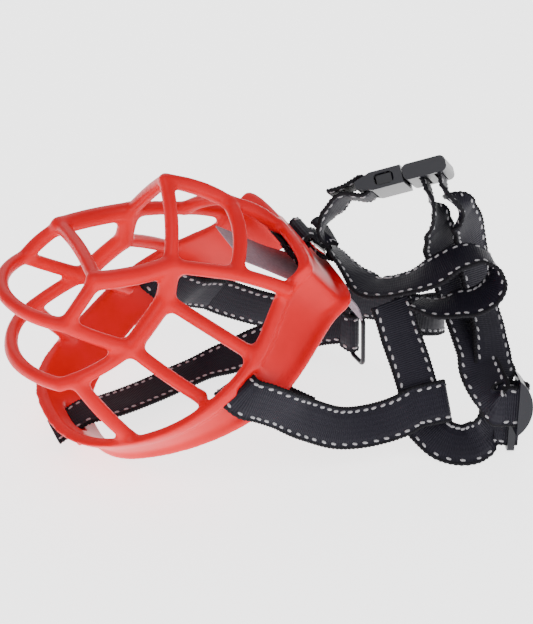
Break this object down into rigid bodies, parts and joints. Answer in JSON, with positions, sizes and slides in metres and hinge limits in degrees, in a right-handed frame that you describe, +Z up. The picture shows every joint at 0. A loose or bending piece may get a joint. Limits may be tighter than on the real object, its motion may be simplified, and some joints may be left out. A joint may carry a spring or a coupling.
{
  "type": "basket muzzle",
  "caption": "Open lattice dog muzzle moulded in rubber, with a webbing head harness, side-release buckle, slider, keeper and wire rings.",
  "frame": {"origin": "centre of the footprint of the whole muzzle, at the surface it lies on", "axes": "+X from the basket towards the neck loop, +Z up, -Y the dog's left cheek; the basket's nose points to -X and up"},
  "size_m": [0.2326, 0.1578, 0.1376],
  "materials": {
    "basket": "satin",
    "webbing": "woven",
    "hardware": "matt",
    "ring": "polished",
    "pad": "felted"
  },
  "bodies": {
    "muzzle": {"basket": "basket", "left_cheek_strap": "webbing", "right_cheek_strap": "webbing", "riser_strap": "webbing", "neck_strap": "webbing", "chin_strap": "webbing", "nose_keeper": "webbing", "crown_strap": "webbing", "adjuster_strap": "webbing", "throat_strap": "webbing", "nose_pad": "pad", "buckle_socket": "hardware"},
    "plug": {"buckle_plug": "hardware", "plug_strap_loop": "webbing"},
    "left_prong": {"left_prong": "hardware"},
    "right_prong": {"right_prong": "hardware"},
    "slider": {"slider": "hardware"},
    "keeper": {"strap_keeper": "hardware"},
    "nose_ring": {"nose_ring": "ring"},
    "chin_ring": {"chin_ring": "hardware"}
  },
  "joints": [
    {"name": "buckle_release", "type": "slide", "parent": "muzzle", "child": "plug", "axis": [0.8522, -0.4061, 0.3301], "range_m": [0, 0.02]},
    {"name": "left_prong_squeeze", "type": "hinge", "parent": "plug", "child": "left_prong", "pos_m": [0.0698, -0.00949, 0.12569], "axis": [0.015, 0.6494, 0.7603], "range_deg": [-7, 0], "stiffness_Nm_per_rad": 0.05},
    {"name": "right_prong_squeeze", "type": "hinge", "parent": "plug", "child": "right_prong", "pos_m": [0.07817, 0.0008, 0.11674], "axis": [0.015, 0.6494, 0.7603], "range_deg": [0, 7], "stiffness_Nm_per_rad": 0.05},
    {"name": "slider_slide", "type": "slide", "parent": "muzzle", "child": "slider", "axis": [0.9402, -0.3401, -0.02], "range_m": [-0.0004, 0.0007]},
    {"name": "keeper_slide", "type": "slide", "parent": "muzzle", "child": "keeper", "axis": [0.9402, -0.3401, -0.02], "range_m": [-0.0025, 0.002]},
    {"name": "nose_ring_rock", "type": "hinge", "parent": "muzzle", "child": "nose_ring", "pos_m": [0.03119, 0.01419, 0.09118], "axis": [0, 1, 0], "range_deg": [-2, 2]},
    {"name": "chin_ring_swing", "type": "hinge", "parent": "muzzle", "child": "chin_ring", "pos_m": [0.06024, 0.01619, 0.02995], "axis": [0, 0.0995, 0.995], "range_deg": [-20, 20]}
  ]
}
